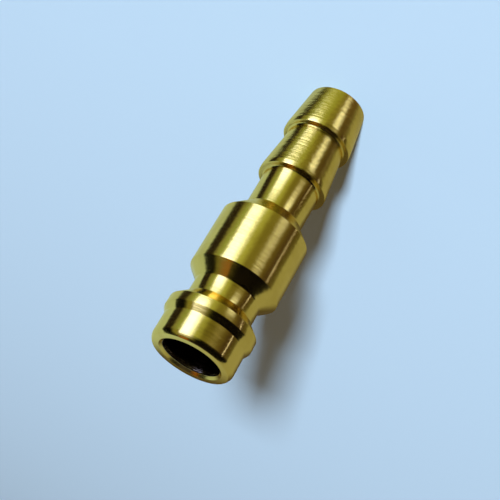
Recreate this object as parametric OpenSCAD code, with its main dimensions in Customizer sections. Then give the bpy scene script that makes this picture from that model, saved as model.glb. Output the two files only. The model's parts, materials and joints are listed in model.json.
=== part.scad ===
// Straight-through plug of a small quick coupling for liquid cooling hose.
// One turned brass piece: a nose, a collar and a locking groove that a socket
// snaps onto, a plain body, and a hose tail with barbs. It stands on its hose
// end with its nose up: +Z runs along its axis, and Z = 0 is the hose end.
// All sizes are in millimetres.

/* [Nose] */
// Diameter of the nose that enters the socket
nose_d = 8.3; // [8:0.05:8.6]
// Length of the nose from its face to the ramp
nose_length = 2.7; // [2.4:0.1:4]
// Width of the bevel round the nose face, measured across the face
bevel_width = 0.3; // [0.3:0.05:0.45]
// Angle of the bevel from the axis
bevel_angle = 50; // [35:1:50]
// Radius that blends the bevel into the nose
nose_round = 0.75; // [0.2:0.05:0.75]

/* [Collar and groove] */
// Diameter of the collar that the socket's balls ride over
collar_d = 9; // [8.8:0.05:9.6]
// Length of the ramp from the nose up to the collar
ramp_length = 0.65; // [0.4:0.05:1.2]
// Length of the collar's straight land
collar_length = 0.95; // [0.6:0.05:1.6]
// Diameter of the groove that the balls lock into
groove_d = 6.65; // [6.4:0.05:7.2]
// Length of the groove's floor
groove_length = 1.8; // [1.2:0.1:2.6]
// Angle of the groove's two flanks from the axis
flank_angle = 45; // [35:1:60]

/* [Body] */
// Diameter of the body
body_d = 9.1; // [8.8:0.05:10.5]
// Length of the body's straight part
body_length = 6.4; // [4:0.1:10]
// Angle of the body's rear cone from the axis
rear_angle = 42; // [35:1:60]

/* [Hose tail] */
// Diameter of the plain stem between the body and the first barb
stem_d = 5.95; // [5.8:0.05:6.3]
// Length of the stem
stem_length = 4.3; // [2:0.1:8]
// Number of barbs
barb_count = 2; // [1:1:4]
// Outer diameter of a barb
barb_d = 7.25; // [7:0.05:7.6]
// Diameter that a barb's cone comes down to at the next shoulder
barb_root_d = 6; // [5.8:0.05:6.3]
// Length of the straight land behind a barb's shoulder
barb_land = 0.6; // [0.3:0.05:1]
// Distance from one barb's shoulder to the next
barb_pitch = 5.75; // [4:0.05:7]
// Length from the last barb's shoulder to the hose end
tip_length = 5.3; // [4:0.1:5.5]

/* [Bore] */
// Diameter of the wide bore behind the nose's face
mouth_d = 5.9; // [5:0.1:6]
// Depth of the wide bore, before its drilled cone
mouth_depth = 3.4; // [2:0.1:4]
// Diameter of the bore through the rest of the plug
bore_d = 4.4; // [3.6:0.1:4.6]
// Chamfer round the mouth
mouth_chamfer = 0.25; // [0.1:0.05:0.3]

/* [Edges] */
// Radius that the turning tool leaves in an inner corner
tool_radius = 0.2; // [0.05:0.05:0.2]
// Radius on a turned outer edge
edge_round = 0.06; // [0.02:0.02:0.1]
// Radius on the hose end's two edges
tip_round = 0.12; // [0.05:0.01:0.15]

/* [Hidden] */

brass = [0.72, 0.62, 0.27];
arc_steps = 4;       // straight stretches in each rounded corner
drill_angle = 59;    // half of a drill's point angle
clear = 1;           // how far a cut runs past the solid
$fn = 96;

nose_r = nose_d / 2;
collar_r = collar_d / 2;
groove_r = groove_d / 2;
body_r = body_d / 2;
stem_r = stem_d / 2;
barb_r = barb_d / 2;
barb_root_r = barb_root_d / 2;
mouth_r = mouth_d / 2;
bore_r = bore_d / 2;

// Heights above the hose end, going up to the nose face
function shoulder_z(barb) = tip_length + barb * barb_pitch;
stem_z = shoulder_z(barb_count - 1);
rear_z = stem_z + stem_length;
body_z = rear_z + (body_r - stem_r) / tan(rear_angle);
body_end_z = body_z + body_length;
groove_z = body_end_z + (body_r - groove_r) / tan(flank_angle);
groove_end_z = groove_z + groove_length;
collar_z = groove_end_z + (collar_r - groove_r) / tan(flank_angle);
ramp_z = collar_z + collar_length;
nose_z = ramp_z + ramp_length;
face_z = nose_z + nose_length;
bevel_z = face_z - bevel_width / tan(bevel_angle);
mouth_z = face_z - mouth_depth;
drill_z = mouth_z - (mouth_r - bore_r) / tan(drill_angle);

// Every barb's cone has the same taper, so the last one, which is cut short
// at the hose end, stays a little thicker there
taper = (barb_r - barb_root_r) / (barb_pitch - barb_land);
tip_r = barb_r - taper * (tip_length - barb_land);

// Corners of one barb as [radius, height, corner radius]: the small end of
// its cone, its land's two edges, and the foot of its shoulder
function barb_corners(barb) = [
    if (barb > 0) [barb_root_r, shoulder_z(barb - 1), tool_radius],
    [barb_r, shoulder_z(barb) - barb_land, edge_round],
    [barb_r, shoulder_z(barb), edge_round]
];

// Corners of the outside, from the hose end up to the nose face
outer_corners = [
    [0, 0, 0],
    [tip_r, 0, tip_round],
    for (barb = [0 : barb_count - 1]) each barb_corners(barb),
    [stem_r, stem_z, tool_radius],
    [stem_r, rear_z, tool_radius],
    [body_r, body_z, edge_round],
    [body_r, body_end_z, edge_round],
    [groove_r, groove_z, tool_radius],
    [groove_r, groove_end_z, tool_radius],
    [collar_r, collar_z, edge_round],
    [collar_r, ramp_z, edge_round],
    [nose_r, nose_z, tool_radius],
    [nose_r, bevel_z, nose_round],
    [nose_r - bevel_width, face_z, edge_round],
    [0, face_z, 0]
];

// Corners of the bore, from below the hose end to above the nose face
bore_corners = [
    [0, -clear, 0],
    [bore_r + tip_round + clear, -clear, 0],
    [bore_r + tip_round, 0, 0],
    [bore_r, tip_round, 0],
    [bore_r, drill_z, 0],
    [mouth_r, mouth_z, 0],
    [mouth_r, face_z - mouth_chamfer, 0],
    [mouth_r + mouth_chamfer, face_z, 0],
    [mouth_r + mouth_chamfer + clear, face_z + clear, 0],
    [0, face_z + clear, 0]
];

function unit(v) = v / norm(v);
function turned(v, angle) =
    [v.x * cos(angle) - v.y * sin(angle), v.x * sin(angle) + v.y * cos(angle)];

// The points of an arc that rounds the corner between two straight stretches
function arc(before, corner, after, radius) =
    let (
        to_before = unit(before - corner),
        to_after = unit(after - corner),
        half = acos(to_before * to_after) / 2,
        centre = corner + unit(to_before + to_after) * radius / sin(half),
        start = corner + to_before * radius / tan(half) - centre,
        side = sign(cross(to_before, to_after)),
        sweep = -side * (180 - 2 * half)
    )
    [for (step = [0 : arc_steps]) centre + turned(start, sweep * step / arc_steps)];

// The outline through a list of corners, each rounded by its own radius
function rounded(corners) =
    let (last = len(corners) - 1, flat = [for (c = corners) [c.x, c.y]])
    [
        for (i = [0 : last])
            if (corners[i].z == 0) flat[i]
            else each arc(flat[i - 1], flat[i], flat[i + 1], corners[i].z)
    ];

module coupling_plug() {
    color(brass)
        difference() {
            rotate_extrude() polygon(rounded(outer_corners));
            rotate_extrude() polygon(rounded(bore_corners));
        }
}

coupling_plug();
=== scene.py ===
"""Turned brass plug of a small quick coupling for liquid cooling hose.

One piece: the plug, turned as a single profile round the Z axis, with its
through bore. Everything is in metres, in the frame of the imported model: the
hose end stands on Z = 0 and the nose points up.
"""

import json
import math
from itertools import pairwise
from typing import NamedTuple

import bmesh
import bpy
from mathutils import Matrix, Vector


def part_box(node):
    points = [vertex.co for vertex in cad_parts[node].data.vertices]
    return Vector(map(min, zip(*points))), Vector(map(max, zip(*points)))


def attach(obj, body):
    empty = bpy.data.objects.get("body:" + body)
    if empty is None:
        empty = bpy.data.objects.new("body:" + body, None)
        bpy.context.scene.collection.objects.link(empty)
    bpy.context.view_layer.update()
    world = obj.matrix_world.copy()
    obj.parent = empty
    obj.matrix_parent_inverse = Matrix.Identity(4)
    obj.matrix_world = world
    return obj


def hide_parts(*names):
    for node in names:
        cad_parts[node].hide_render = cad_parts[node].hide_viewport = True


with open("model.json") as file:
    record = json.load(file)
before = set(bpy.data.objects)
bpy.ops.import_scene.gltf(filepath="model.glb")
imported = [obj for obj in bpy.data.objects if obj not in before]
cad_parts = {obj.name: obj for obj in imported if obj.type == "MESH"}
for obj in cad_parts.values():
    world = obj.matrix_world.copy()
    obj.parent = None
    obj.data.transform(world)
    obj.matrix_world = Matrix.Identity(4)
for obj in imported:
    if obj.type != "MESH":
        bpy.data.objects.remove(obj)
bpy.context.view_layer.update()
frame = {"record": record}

bl_info = {
    "name": "Coolant Coupling Plug",
    "version": (1, 0, 0),
    "blender": (4, 5, 0),
    "location": "3D View > Sidebar > Coupling",
    "description": "Turns the brass plug of a small coolant coupling and sets its stage",
    "category": "Object",
}

NODE = "coupling_plug"
MM = 0.001
MICRON = MM / 1000
ALONG = "along"
MOUNTS = {mount["name"]: mount for mount in frame["record"]["mounts"]}
LOW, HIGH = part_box(NODE)


def mount_diameter(name):
    """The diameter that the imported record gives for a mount, in metres."""
    return 2 * MOUNTS[name]["dims"]["r_mm"] * MM


# ---------------------------------------------------------------- settings


def size(name, description, default):
    """A length that the user may change."""
    return bpy.props.FloatProperty(
        name=name, description=description, default=default, min=0, precision=5,
        subtype="DISTANCE", unit="LENGTH",
    )


def angle(name, description, degrees):
    """An angle that the user may change."""
    return bpy.props.FloatProperty(
        name=name, description=description, default=math.radians(degrees),
        subtype="ANGLE", unit="ROTATION",
    )


def share(name, description, default):
    """A number from 0 to 1 that the user may change."""
    return bpy.props.FloatProperty(
        name=name, description=description, default=default, min=0, max=1, subtype="FACTOR",
    )


def strength(name, description, default):
    """A strength with no upper limit that the user may change."""
    return bpy.props.FloatProperty(name=name, description=description, default=default, min=0)


def colour(name, description, default):
    """A colour that the user may change."""
    return bpy.props.FloatVectorProperty(
        name=name, description=description, default=default, min=0, soft_max=1,
        subtype="COLOR", size=3,
    )


class PlugSizes(bpy.types.PropertyGroup):
    """Sizes of the plug, from the nose down to the hose end"""

    nose_d: size("Nose", "Diameter of the nose", mount_diameter("socket_nose"))
    nose_length: size("Nose length", "From the nose face to the ramp", 2.7 * MM)
    bevel_width: size("Bevel", "Width of the bevel round the nose face", 0.3 * MM)
    bevel_angle: angle("Bevel angle", "Angle of the bevel from the axis", 50)
    nose_round: size("Nose round", "Radius that blends the bevel into the nose", 0.75 * MM)
    collar_d: size("Collar", "Diameter of the collar", 9 * MM)
    ramp_length: size("Ramp", "Length of the ramp up to the collar", 0.65 * MM)
    collar_length: size("Collar land", "Length of the collar's straight land", 0.95 * MM)
    groove_d: size("Groove", "Diameter of the locking groove's floor", 6.65 * MM)
    groove_length: size("Groove floor", "Length of the groove's floor", 1.8 * MM)
    flank_angle: angle("Flanks", "Angle of the groove's flanks from the axis", 45)
    body_d: size("Body", "Diameter of the body", HIGH.x - LOW.x)
    body_length: size("Body length", "Length of the body's straight part", 6.4 * MM)
    rear_angle: angle("Rear cone", "Angle of the body's rear cone from the axis", 42)
    stem_d: size("Stem", "Diameter of the stem", 5.95 * MM)
    stem_length: size("Stem length", "From the body to the first barb", 4.3 * MM)
    barb_count: bpy.props.IntProperty(
        name="Barbs", description="Number of barbs", default=2, min=1, max=4
    )
    barb_d: size("Barb", "Outer diameter of a barb", mount_diameter("hose_barbs"))
    barb_root_d: size("Barb root", "Small diameter of a barb's cone", 6 * MM)
    barb_land: size("Barb land", "Straight land behind a barb's shoulder", 0.6 * MM)
    barb_pitch: size("Barb pitch", "From one barb's shoulder to the next", 5.75 * MM)
    tip_length: size("Tip", "From the last shoulder to the hose end", 5.3 * MM)
    mouth_d: size("Mouth", "Diameter of the wide bore", mount_diameter("mouth_bore"))
    mouth_depth: size("Mouth depth", "Depth of the wide bore", 3.4 * MM)
    mouth_chamfer: size("Mouth chamfer", "Chamfer round the mouth", 0.25 * MM)
    bore_d: size("Bore", "Diameter of the through bore", mount_diameter("through_bore"))
    drill_angle: angle("Drill", "Half of the drill's point angle", 59)
    tool_radius: size("Tool radius", "Radius left in an inner corner", 0.2 * MM)
    edge_round: size("Edge round", "Radius on a turned outer edge", 0.06 * MM)
    tip_round: size("Tip round", "Radius on the hose end's edges", 0.12 * MM)
    sides: bpy.props.IntProperty(
        name="Sides", description="Steps round the axis, a multiple of 4", default=256, min=32
    )


class PlugFinish(bpy.types.PropertyGroup):
    """Finish of the turned brass, and the painted shade deep in its bore"""

    brass: colour("Brass", "Colour of the clean metal", (0.80, 0.61, 0.17))
    tarnish: colour("Tarnish", "Colour where the metal has dulled", (0.62, 0.44, 0.10))
    edge_tint: colour("Edge tint", "Tint of the metal seen edge on", (1.0, 0.93, 0.72))
    roughness: share("Roughness", "Roughness of the turned surface", 0.16)
    lip: colour("Lip", "Colour just inside the mouth", (0.80, 0.66, 0.48))
    # Painted shade: the near-black Bore colour stands in for the shade deep inside the bore
    bore: colour("Bore", "Colour of the unpolished bore", (0.03, 0.02, 0.012))
    grain: share("Grain", "How much more the finish spreads light along the axis", 0.86)
    mark_pitch: size("Mark pitch", "Distance between the tool's marks", 0.26 * MM)
    mark_depth: size("Mark depth", "Depth of the tool's marks", 0.016 * MM)
    chatter: size("Chatter", "Depth of the short waves round the axis", 0.008 * MM)
    tail_coarseness: strength("Coarse tail", "How much deeper the marks are on the barbs", 1.8)


class StageSettings(bpy.types.PropertyGroup):
    """Floor, light and camera"""

    floor: colour("Floor", "Colour of the floor", (0.50, 0.70, 0.90))
    ambient: colour("Ambient", "Soft light from all round", (0.17, 0.095, 0.038))
    key: strength("Key", "Power of the key lamp, in watts", 113)
    fill: strength("Fill", "Power of the broad lamp, in watts", 1.5)
    lens: bpy.props.FloatProperty(
        name="Lens", description="Focal length of the camera, in millimetres", default=71.9, min=1
    )


# ------------------------------------------------------------------ shaders


class Value:
    """A number in a shader: its operators add the Math nodes that they need."""

    def __init__(self, shader, socket):
        self.shader = shader
        self.socket = socket

    def math(self, operation, *values):
        """One Math node on this value and others."""
        sockets = dict(enumerate((self, *values)))
        return self.shader.node("ShaderNodeMath", {"operation": operation}, sockets)[0]

    def __add__(self, other):
        return self.math("ADD", other)

    __radd__ = __add__

    def __sub__(self, other):
        return self.math("SUBTRACT", other)

    def __rsub__(self, other):
        return (self * -1).math("ADD", other)

    def __mul__(self, other):
        return self.math("MULTIPLY", other)

    def __truediv__(self, other):
        return self.math("DIVIDE", other)

    def __pow__(self, other):
        return self.math("POWER", other)

    def step(self, low, high):
        """0 at low and below, 1 at high and above, and smooth in between."""
        return self.shader.node(
            "ShaderNodeMapRange",
            {"interpolation_type": "SMOOTHSTEP"},
            {"Value": self, "From Min": low, "From Max": high},
        )[0]

    def band(self, rise, risen, fall, fallen):
        """1 from risen to fall, 0 before rise and after fallen, and smooth in between."""
        return self.step(rise, risen) * (1 - self.step(fall, fallen))


class Shader:
    """A shader tree, filled node by node."""

    def __init__(self, owner):
        owner.use_nodes = True
        self.tree = owner.node_tree
        self.tree.nodes.clear()

    def node(self, kind, settings=None, sockets=None):
        """Adds a node, sets it up, fills its sockets and returns its outputs as values."""
        made = self.tree.nodes.new(kind)
        for name, value in (settings or {}).items():
            if name == "stops":
                self.set_stops(made.color_ramp, value)
            else:
                setattr(made, name, value)
        for name, value in (sockets or {}).items():
            if isinstance(value, Value):
                self.tree.links.new(value.socket, made.inputs[name])
            else:
                made.inputs[name].default_value = value
        return [Value(self, socket) for socket in made.outputs if socket.enabled]

    def output(self, name, kind, settings=None):
        """Adds a node that only reads something, and returns its output of that name."""
        return next(value for value in self.node(kind, settings) if value.socket.name == name)

    @staticmethod
    def set_stops(ramp, stops):
        """Gives a colour ramp its (position, colour) stops."""
        while len(ramp.elements) < len(stops):
            ramp.elements.new(1)
        for element, (position, tone) in zip(ramp.elements, stops):
            element.position = position
            element.color = (*tone, 1)

    def mix(self, share_of_second, first, second, blend="MIX"):
        """A colour between two colours, or another blend of them."""
        return self.node(
            "ShaderNodeMix",
            {"data_type": "RGBA", "blend_type": blend},
            {"Factor": share_of_second, "A": rgba(first), "B": rgba(second)},
        )[0]


def rgba(tone):
    """A colour socket's value: a link as it is, or a colour with its alpha."""
    return tone if isinstance(tone, Value) else (*tone, 1)


# Heights and radii over which the finish changes: at the upper barb's shoulder, at the bore's
# foot and wall, and from the pale lip down into the bore's painted shade
TAIL_TOP = (10.9 * MM, 11.4 * MM)
BORE_FOOT = (0.15 * MM, 0.3 * MM)
BORE_WALL = (2.955 * MM, 2.965 * MM)
LIP_FOOT = (HIGH.z - 0.9 * MM, HIGH.z - 0.4 * MM)

# How often the marks and the short waves change round the axis, per metre, and the waves' pitch
# against the marks'
MARK_RATE = 140
WAVE_RATE = 1500
WAVE_PITCH = 1.6
BORE_COARSENESS = 3

# Dull patches: how many per metre, where their edge lies in the noise, and what they and the
# marks do to the colour and to the roughness
PATCH_RATE = 420.0
PATCH_EDGE = (0.42, 0.72)
PATCH_TARNISH = 0.35
PATCH_ROUGHNESS = 0.03
MARK_TARNISH = 0.2
MARK_ROUGHNESS = 0.08
TAIL_ROUGHNESS = 0.03


def turned_brass(finish):
    """Bright turned brass with the tool's marks round the Z axis, and painted shade in the bore.
    """
    material = bpy.data.materials.new("turned_brass")
    shader = Shader(material)
    place = shader.output("Object", "ShaderNodeTexCoord")
    x, y, z = shader.node("ShaderNodeSeparateXYZ", None, {"Vector": place})
    radius = (x * x + y * y) ** 0.5
    along = shader.output("Fac", "ShaderNodeAttribute", {"attribute_name": ALONG}) * MM

    def streaks(turn_rate, pitch, detail):
        """Noise drawn out round the axis, that changes from ring to ring along the outline."""
        at = shader.node(
            "ShaderNodeCombineXYZ",
            None,
            {"X": x * turn_rate, "Y": y * turn_rate, "Z": along / pitch},
        )[0]
        return shader.node(
            "ShaderNodeTexNoise",
            None,
            {"Vector": at, "Scale": 1.0, "Detail": detail, "Roughness": 0.65},
        )[0]

    marks = streaks(MARK_RATE, finish.mark_pitch, detail=3.0)
    waves = streaks(WAVE_RATE, finish.mark_pitch * WAVE_PITCH, detail=1.0)
    tail = 1 - z.step(*TAIL_TOP)
    bore = (1 - radius.step(*BORE_WALL)) * z.step(*BORE_FOOT)
    # Painted shade: below the lip the bore's colour goes near black, standing in for the shade
    # deep in the hole
    painted_bore_shade = bore * (1 - z.step(*LIP_FOOT))
    coarse = tail * finish.tail_coarseness + bore * BORE_COARSENESS + 1
    height = (marks * finish.mark_depth + waves * finish.chatter) * coarse
    bump = shader.node("ShaderNodeBump", None, {"Height": height, "Distance": 1.0})[0]
    patches = shader.node(
        "ShaderNodeTexNoise", None, {"Vector": place, "Scale": PATCH_RATE, "Detail": 4.0}
    )[0].step(*PATCH_EDGE)
    dulled = patches * PATCH_TARNISH + marks * MARK_TARNISH
    outside = shader.mix(dulled, finish.brass, finish.tarnish)
    # The pale lip just inside the mouth, then the painted shade further down the bore
    base = shader.mix(painted_bore_shade, shader.mix(bore, outside, finish.lip), finish.bore)
    rough = finish.roughness + (marks - 0.5) * MARK_ROUGHNESS
    rough = rough + patches * PATCH_ROUGHNESS + tail * TAIL_ROUGHNESS
    surface = shader.node(
        "ShaderNodeBsdfPrincipled",
        None,
        {
            "Base Color": base,
            "Metallic": 1.0,
            "Roughness": rough,
            "Specular Tint": rgba(finish.edge_tint),
            "Anisotropic": finish.grain,
            "Anisotropic Rotation": 0.25,
            "Normal": bump,
        },
    )[0]
    shader.node("ShaderNodeOutputMaterial", None, {"Surface": surface})
    return material


# ------------------------------------------------------------------- shapes

ARC_STEPS = 5.45  # steps per radian in an arc of 1 mm radius; they grow with the radius's root
SMOOTH_ANGLE = math.radians(32)


def outline(sizes):
    """Corners of the plug's section as (radius, height, corner radius).

    They run up the outside from the hose end to the nose face, and back down
    the bore.
    """
    nose_r, collar_r, groove_r = sizes.nose_d / 2, sizes.collar_d / 2, sizes.groove_d / 2
    body_r, stem_r = sizes.body_d / 2, sizes.stem_d / 2
    barb_r, root_r = sizes.barb_d / 2, sizes.barb_root_d / 2
    mouth_r, bore_r = sizes.mouth_d / 2, sizes.bore_d / 2
    flank, rear = math.tan(sizes.flank_angle), math.tan(sizes.rear_angle)
    tool, edge, tip_round = sizes.tool_radius, sizes.edge_round, sizes.tip_round

    taper = (barb_r - root_r) / (sizes.barb_pitch - sizes.barb_land)
    tip_r = barb_r - taper * (sizes.tip_length - sizes.barb_land)
    corners = [(bore_r + tip_round, 0, 0), (tip_r, 0, tip_round)]
    for barb in range(sizes.barb_count):
        shoulder = sizes.tip_length + barb * sizes.barb_pitch
        if barb > 0:
            corners.append((root_r, shoulder - sizes.barb_pitch, tool))
        corners += [(barb_r, shoulder - sizes.barb_land, edge), (barb_r, shoulder, edge)]

    height = shoulder
    corners.append((stem_r, height, tool))
    height += sizes.stem_length
    corners.append((stem_r, height, tool))
    height += (body_r - stem_r) / rear
    corners.append((body_r, height, edge))
    height += sizes.body_length
    corners.append((body_r, height, edge))
    height += (body_r - groove_r) / flank
    corners.append((groove_r, height, tool))
    height += sizes.groove_length
    corners.append((groove_r, height, tool))
    height += (collar_r - groove_r) / flank
    corners.append((collar_r, height, edge))
    height += sizes.collar_length
    corners.append((collar_r, height, edge))
    height += sizes.ramp_length
    corners.append((nose_r, height, tool))
    face = height + sizes.nose_length
    mouth_foot = face - sizes.mouth_depth
    corners += [
        (nose_r, face - sizes.bevel_width / math.tan(sizes.bevel_angle), sizes.nose_round),
        (nose_r - sizes.bevel_width, face, edge),
        (mouth_r + sizes.mouth_chamfer, face, 0),
        (mouth_r, face - sizes.mouth_chamfer, 0),
        (mouth_r, mouth_foot, 0),
        (bore_r, mouth_foot - (mouth_r - bore_r) / math.tan(sizes.drill_angle), 0),
        (bore_r, tip_round, 0),
    ]
    return corners


def edit_mesh():
    """The mesh being edited, as a bmesh."""
    return bmesh.from_edit_mesh(bpy.context.object.data)


def select_verts(chosen):
    """Selects only these vertices of the mesh being edited."""
    bpy.ops.mesh.select_all(action="DESELECT")
    for vert in chosen:
        vert.select = True
    edit_mesh().select_flush(True)


def draw_wire(points):
    """Extrudes a single vertex from point to point, and closes the wire."""
    bpy.ops.mesh.primitive_plane_add(size=MM)
    bpy.ops.object.mode_set(mode="EDIT")
    bpy.ops.mesh.merge(type="CENTER")
    bpy.ops.transform.translate(value=points[0])
    for here, there in pairwise(points):
        bpy.ops.mesh.extrude_region_move(TRANSFORM_OT_translate={"value": there - here})
    ends = [vert for vert in edit_mesh().verts if len(vert.link_edges) == 1]
    select_verts(ends)
    bpy.ops.mesh.edge_face_add()


def round_corner(before, corner, after, radius):
    """Rounds one corner of the wire with an arc of that radius."""
    half = (before - corner).angle(after - corner) / 2
    steps = ARC_STEPS * (math.pi - 2 * half) * math.sqrt(radius / MM)
    nearest = min(edit_mesh().verts, key=lambda vert: (vert.co - corner).length)
    select_verts([nearest])
    bpy.ops.mesh.bevel(
        affect="VERTICES", offset_type="OFFSET", offset=radius / math.tan(half),
        segments=max(2, round(steps)), profile=0.5,
    )


def measure_wire(start):
    """Stores each vertex's distance along the wire, in mm, which the tool's marks follow."""
    mesh = edit_mesh()
    along = mesh.verts.layers.float.new(ALONG)
    first = here = min(mesh.verts, key=lambda vert: (vert.co - start).length)
    came_by, gone = None, 0
    while came_by is None or here != first:
        here[along] = gone / MM
        came_by = next(edge for edge in here.link_edges if edge != came_by)
        gone += came_by.calc_length()
        here = came_by.other_vert(here)


def turn_on_lathe(name, corners, sides):
    """Turns a closed outline round the Z axis into one smooth piece."""
    bpy.ops.object.select_all(action="DESELECT")
    points = [Vector((radius, 0, height)) for radius, height, _ in corners]
    draw_wire(points)
    for i, (_, _, corner_round) in enumerate(corners):
        if corner_round:
            round_corner(points[i - 1], points[i], points[(i + 1) % len(points)], corner_round)
    measure_wire(points[0])
    bpy.ops.mesh.select_all(action="SELECT")
    bpy.ops.mesh.spin(steps=sides, angle=math.tau, center=(0, 0, 0), axis=(0, 0, 1))
    bpy.ops.mesh.select_all(action="SELECT")
    bpy.ops.mesh.remove_doubles(threshold=MICRON)
    bpy.ops.mesh.normals_make_consistent(inside=False)
    bpy.ops.object.mode_set(mode="OBJECT")
    piece = bpy.context.object
    piece.name = piece.data.name = name
    bpy.ops.object.shade_smooth_by_angle(angle=SMOOTH_ANGLE)
    # Keeps the walls straight in the light, with all of the turn in the rounds
    piece.modifiers.new("walls", "WEIGHTED_NORMAL").keep_sharp = True
    bpy.ops.object.modifier_apply(modifier="walls")
    return piece


# -------------------------------------------------------------------- stage

FLOOR_WIDTH = 4
FLOOR_CLOUD = 0.1
DAYLIGHT = (0.86, 0.93, 1.0)

# What the metal sees all round it: dim walls by azimuth, in degrees. The camera is at 0, and the
# azimuth grows towards -Y, which is to the camera's right
WALLS = (
    (-110, (0.025, 0.02, 0.015)),
    (-86, (0.025, 0.02, 0.015)),
    (-80, (0.25, 0.27, 0.13)),
    (-70, (0.32, 0.42, 0.18)),
    (-61, (0.42, 0.54, 0.26)),
    (-44, (0.50, 0.62, 0.26)),
    (-31, (0.38, 0.46, 0.18)),
    (-21, (0.31, 0.37, 0.12)),
    (-11, (0.25, 0.27, 0.08)),
    (-3, (0.22, 0.22, 0.06)),
    (5, (0.21, 0.205, 0.065)),
    (28, (0.25, 0.23, 0.09)),
    (47, (0.14, 0.115, 0.05)),
    (56, (0.085, 0.06, 0.035)),
    (74, (0.10, 0.08, 0.04)),
    (80, (0.11, 0.10, 0.045)),
    (88, (0.16, 0.15, 0.08)),
)
# The walls fade out upwards between these elevations, in degrees
WALL_TOP = (-16, 2)
BLACK = (0.003, 0.003, 0.004)

# The table behind the plug: how it is turned from the camera's line, its tones on the two sides
# and in the plug's shadow, and the shares of a direction over which it begins and changes side
TABLE_TURN = math.radians(11)
TABLE_LIT = (0.50, 0.68, 0.70)
TABLE_SHADED = (0.37, 0.39, 0.26)
TABLE_DARK = (0.10, 0.085, 0.05)
TABLE_EDGE = (0.11, 0.17)
TABLE_MIDDLE = (-0.4, 0.4)

# The part of the table next to the plug is a card: its width, its gap behind the body, where it
# changes side, and where the plug's shadow lies on it, across and along
CARD_WIDTH = 75 * MM
CARD_GAP = 0.2 * MM
CARD_MIDDLE = (-6 * MM, 5 * MM)
SHADOW_ACROSS = (-9.5 * MM, -5.5 * MM, 2.4 * MM, 5.2 * MM)
SHADOW_ALONG = (0.5 * MM, 7 * MM, HIGH.z + 0.4 * MM, HIGH.z + 2.6 * MM)

# What lies straight below, on the two sides, and the shares of a direction over which it begins
# and changes side
BELOW_LEFT = (0.40, 0.46, 0.13)
BELOW_RIGHT = (0.22, 0.16, 0.08)
BELOW_EDGE = (-0.93, -0.80)
BELOW_MIDDLE = (-0.2, 0.1)

# The camera's right and up, and its place in metres
CAMERA_RIGHT = Vector((0.2292, -0.8626, -0.4510))
CAMERA_UP = Vector((0.3967, 0.5059, -0.7660))
CAMERA_PLACE = Vector((84.33, 0, 62.91)) * MM


class Glow(NamedTuple):
    """A soft light: its tone, and where it rises and falls in azimuth and elevation, in degrees"""

    tone: tuple
    azimuth: tuple
    elevation: tuple


GLOWS = (
    # A broad window on the left, its halo, and the haze above it
    Glow((2.3, 2.6, 5.2), (-62, -54, -41, -17), (-46, -20, 8, 28)),
    Glow((0.20, 0.24, 0.10), (-50, -40, -16, 2), (-50, -34, 0, 20)),
    Glow((0.26, 0.27, 0.08), (-84, -70, -34, -6), (-14, 4, 34, 50)),
    # A lamp low on the right, and a thin strip light beyond it
    Glow((1.5, 1.75, 2.5), (13, 26, 35, 46), (-92, -91, -54, -18)),
    Glow((2.9, 2.9, 4.2), (65.3, 65.7, 66.3, 66.7), (-40, -18, -12, -2)),
    # A warm glow high on the left, and the dim ceiling, which goes all round
    Glow((0.42, 0.13, 0.0), (-84, -66, -44, -34), (42, 52, 60, 68)),
    Glow((0.09, 0.08, 0.10), (-181, -180, 181, 182), (66, 74, 91, 92)),
)


def studio_light(world, stage):
    """Lights the floor evenly, and shows the metal a room with soft lights and a pale table."""
    shader = Shader(world)
    towards = shader.output("Generated", "ShaderNodeTexCoord")
    x, y, z = shader.node("ShaderNodeSeparateXYZ", None, {"Vector": towards})
    azimuth = (y * -1).math("ARCTAN2", x) * math.degrees(1)
    elevation = z.math("ARCSINE") * math.degrees(1)

    walls = [(0.5 + degrees / 360, tone) for degrees, tone in WALLS]
    turn = azimuth / 360 + 0.5
    light = shader.node("ShaderNodeValToRGB", {"stops": walls}, {"Fac": turn})[0]
    light = shader.mix(elevation.step(*WALL_TOP), light, BLACK)
    for glow in GLOWS:
        mask = azimuth.band(*glow.azimuth) * elevation.band(*glow.elevation)
        light = shader.mix(mask, light, glow.tone, "ADD")

    behind = x * -math.cos(TABLE_TURN) + y * -math.sin(TABLE_TURN)
    table = shader.mix(y.step(*TABLE_MIDDLE), TABLE_SHADED, TABLE_LIT)
    light = shader.mix(behind.step(*TABLE_EDGE), light, table)
    below = shader.mix(y.step(*BELOW_MIDDLE), BELOW_RIGHT, BELOW_LEFT)
    light = shader.mix(z.step(*BELOW_EDGE), below, light)
    glossy = shader.output("Is Glossy Ray", "ShaderNodeLightPath")
    seen = shader.mix(glossy, stage.ambient, light)
    background = shader.node("ShaderNodeBackground", None, {"Color": seen})[0]
    shader.node("ShaderNodeOutputWorld", None, {"Surface": background})


def table_material():
    """The table as reflections see it: lit on the left, dimmer on the right, with a shadow."""
    material = bpy.data.materials.new("reflected_table")
    shader = Shader(material)
    place = shader.output("Position", "ShaderNodeNewGeometry")
    _, y, z = shader.node("ShaderNodeSeparateXYZ", None, {"Vector": place})
    lit = shader.mix(y.step(*CARD_MIDDLE), TABLE_SHADED, TABLE_LIT)
    shadow = y.band(*SHADOW_ACROSS) * z.band(*SHADOW_ALONG)
    tone = shader.mix(shadow, lit, TABLE_DARK)
    light = shader.node("ShaderNodeEmission", None, {"Color": tone})[0]
    shader.node("ShaderNodeOutputMaterial", None, {"Surface": light})
    return material


def table_card():
    """A card just behind the plug that nothing but reflections sees."""
    away = HIGH.x + CARD_GAP
    middle = (-math.cos(TABLE_TURN) * away, -math.sin(TABLE_TURN) * away, HIGH.z / 2)
    bpy.ops.mesh.primitive_plane_add(
        size=CARD_WIDTH, location=middle, rotation=(0, math.pi / 2, TABLE_TURN)
    )
    card = bpy.context.object
    card.name = "table_card"
    card.data.materials.append(table_material())
    card.visible_camera = False
    card.visible_diffuse = False
    card.visible_transmission = False
    card.visible_shadow = False


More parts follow.
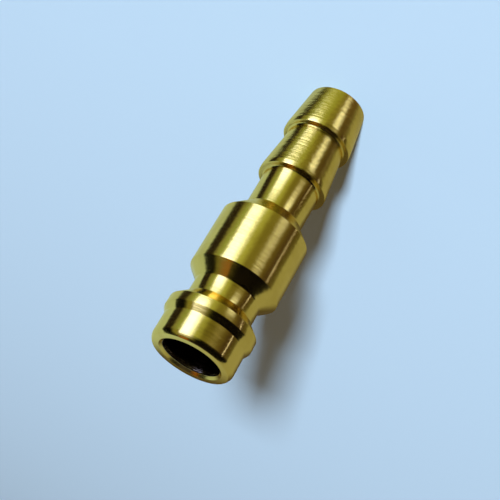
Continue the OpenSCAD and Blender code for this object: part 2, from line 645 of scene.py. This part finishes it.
def floor_material(stage):
    """A plain matt floor with hardly any variation."""
    material = bpy.data.materials.new("floor")
    shader = Shader(material)
    place = shader.output("Object", "ShaderNodeTexCoord")
    cloud = shader.node("ShaderNodeTexNoise", None, {"Vector": place, "Scale": 14.0})[0]
    base = shader.mix(cloud * FLOOR_CLOUD, stage.floor, [tone * 0.85 for tone in stage.floor])
    surface = shader.node(
        "ShaderNodeBsdfPrincipled", None, {"Base Color": base, "Roughness": 0.9}
    )[0]
    shader.node("ShaderNodeOutputMaterial", None, {"Surface": surface})
    return material


def soft_box(name, azimuth, elevation, distance, width, power):
    """A square lamp that faces the plug, hidden from reflections. Its angles are in degrees."""
    target = Vector((0, 0, HIGH.z / 2))
    across, above = math.radians(azimuth), math.radians(elevation)
    back = Vector((
        math.cos(across) * math.cos(above),
        -math.sin(across) * math.cos(above),
        math.sin(above),
    ))
    bpy.ops.object.light_add(type="AREA", location=target + back * distance)
    lamp = bpy.context.object
    lamp.name = lamp.data.name = name
    lamp.rotation_euler = back.to_track_quat("Z", "Y").to_euler()
    lamp.data.size = width
    lamp.data.energy = power
    lamp.data.color = DAYLIGHT
    lamp.visible_glossy = False


def rolled_camera(stage):
    """A camera a hand's width away, rolled so that the nose comes down to the left."""
    bpy.ops.object.camera_add()
    camera = bpy.context.object
    back = CAMERA_RIGHT.cross(CAMERA_UP)
    turn = Matrix((CAMERA_RIGHT, CAMERA_UP, back)).transposed().to_4x4()
    camera.matrix_world = Matrix.Translation(CAMERA_PLACE) @ turn
    camera.data.lens = stage.lens
    camera.data.sensor_width = 36
    camera.data.clip_start = 5 * MM
    bpy.context.scene.camera = camera


# ---------------------------------------------------------------- operators


class COUPLING_OT_plug(bpy.types.Operator):
    """Turn the plug from its outline and give it its finish"""

    bl_idname = "coupling.plug"
    bl_label = "Turn Plug"

    def execute(self, context):
        sizes = context.scene.plug_sizes
        plug = turn_on_lathe("turned_plug", outline(sizes), sizes.sides)
        plug.data.materials.append(turned_brass(context.scene.plug_finish))
        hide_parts(NODE)
        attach(plug, "root")
        return {"FINISHED"}


class COUPLING_OT_stage(bpy.types.Operator):
    """Lay the floor and set the light and the camera"""

    bl_idname = "coupling.stage"
    bl_label = "Set Stage"

    def execute(self, context):
        stage = context.scene.stage_settings
        bpy.ops.object.select_all(action="DESELECT")
        bpy.ops.mesh.primitive_plane_add(size=FLOOR_WIDTH)
        floor = bpy.context.object
        floor.name = "floor"
        floor.data.materials.append(floor_material(stage))
        floor.visible_glossy = False
        table_card()
        context.scene.world = bpy.data.worlds.new("studio")
        studio_light(context.scene.world, stage)
        soft_box("key", azimuth=-9.1, elevation=20, distance=2, width=0.2, power=stage.key)
        soft_box("fill", azimuth=-25, elevation=50, distance=2, width=1, power=stage.fill)
        rolled_camera(stage)
        context.scene.view_settings.view_transform = "Standard"
        return {"FINISHED"}


class COUPLING_PT_panel(bpy.types.Panel):
    """Sizes, finish and stage of the coupling plug"""

    bl_label = "Coupling Plug"
    bl_space_type = "VIEW_3D"
    bl_region_type = "UI"
    bl_category = "Coupling"

    def draw(self, context):
        for operator in (COUPLING_OT_plug, COUPLING_OT_stage):
            self.layout.operator(operator.bl_idname)
        for group in ("plug_sizes", "plug_finish", "stage_settings"):
            box = self.layout.box()
            settings = getattr(context.scene, group)
            for name in settings.__annotations__:
                box.prop(settings, name)


CLASSES = (
    PlugSizes, PlugFinish, StageSettings, COUPLING_OT_plug, COUPLING_OT_stage, COUPLING_PT_panel,
)


def register():
    for cls in CLASSES:
        bpy.utils.register_class(cls)
    bpy.types.Scene.plug_sizes = bpy.props.PointerProperty(type=PlugSizes)
    bpy.types.Scene.plug_finish = bpy.props.PointerProperty(type=PlugFinish)
    bpy.types.Scene.stage_settings = bpy.props.PointerProperty(type=StageSettings)


def unregister():
    del bpy.types.Scene.stage_settings
    del bpy.types.Scene.plug_finish
    del bpy.types.Scene.plug_sizes
    for cls in reversed(CLASSES):
        bpy.utils.unregister_class(cls)


def main():
    """Builds the plug and its stage."""
    register()
    bpy.ops.coupling.plug()
    bpy.ops.coupling.stage()


if __name__ == "__main__":
    main()
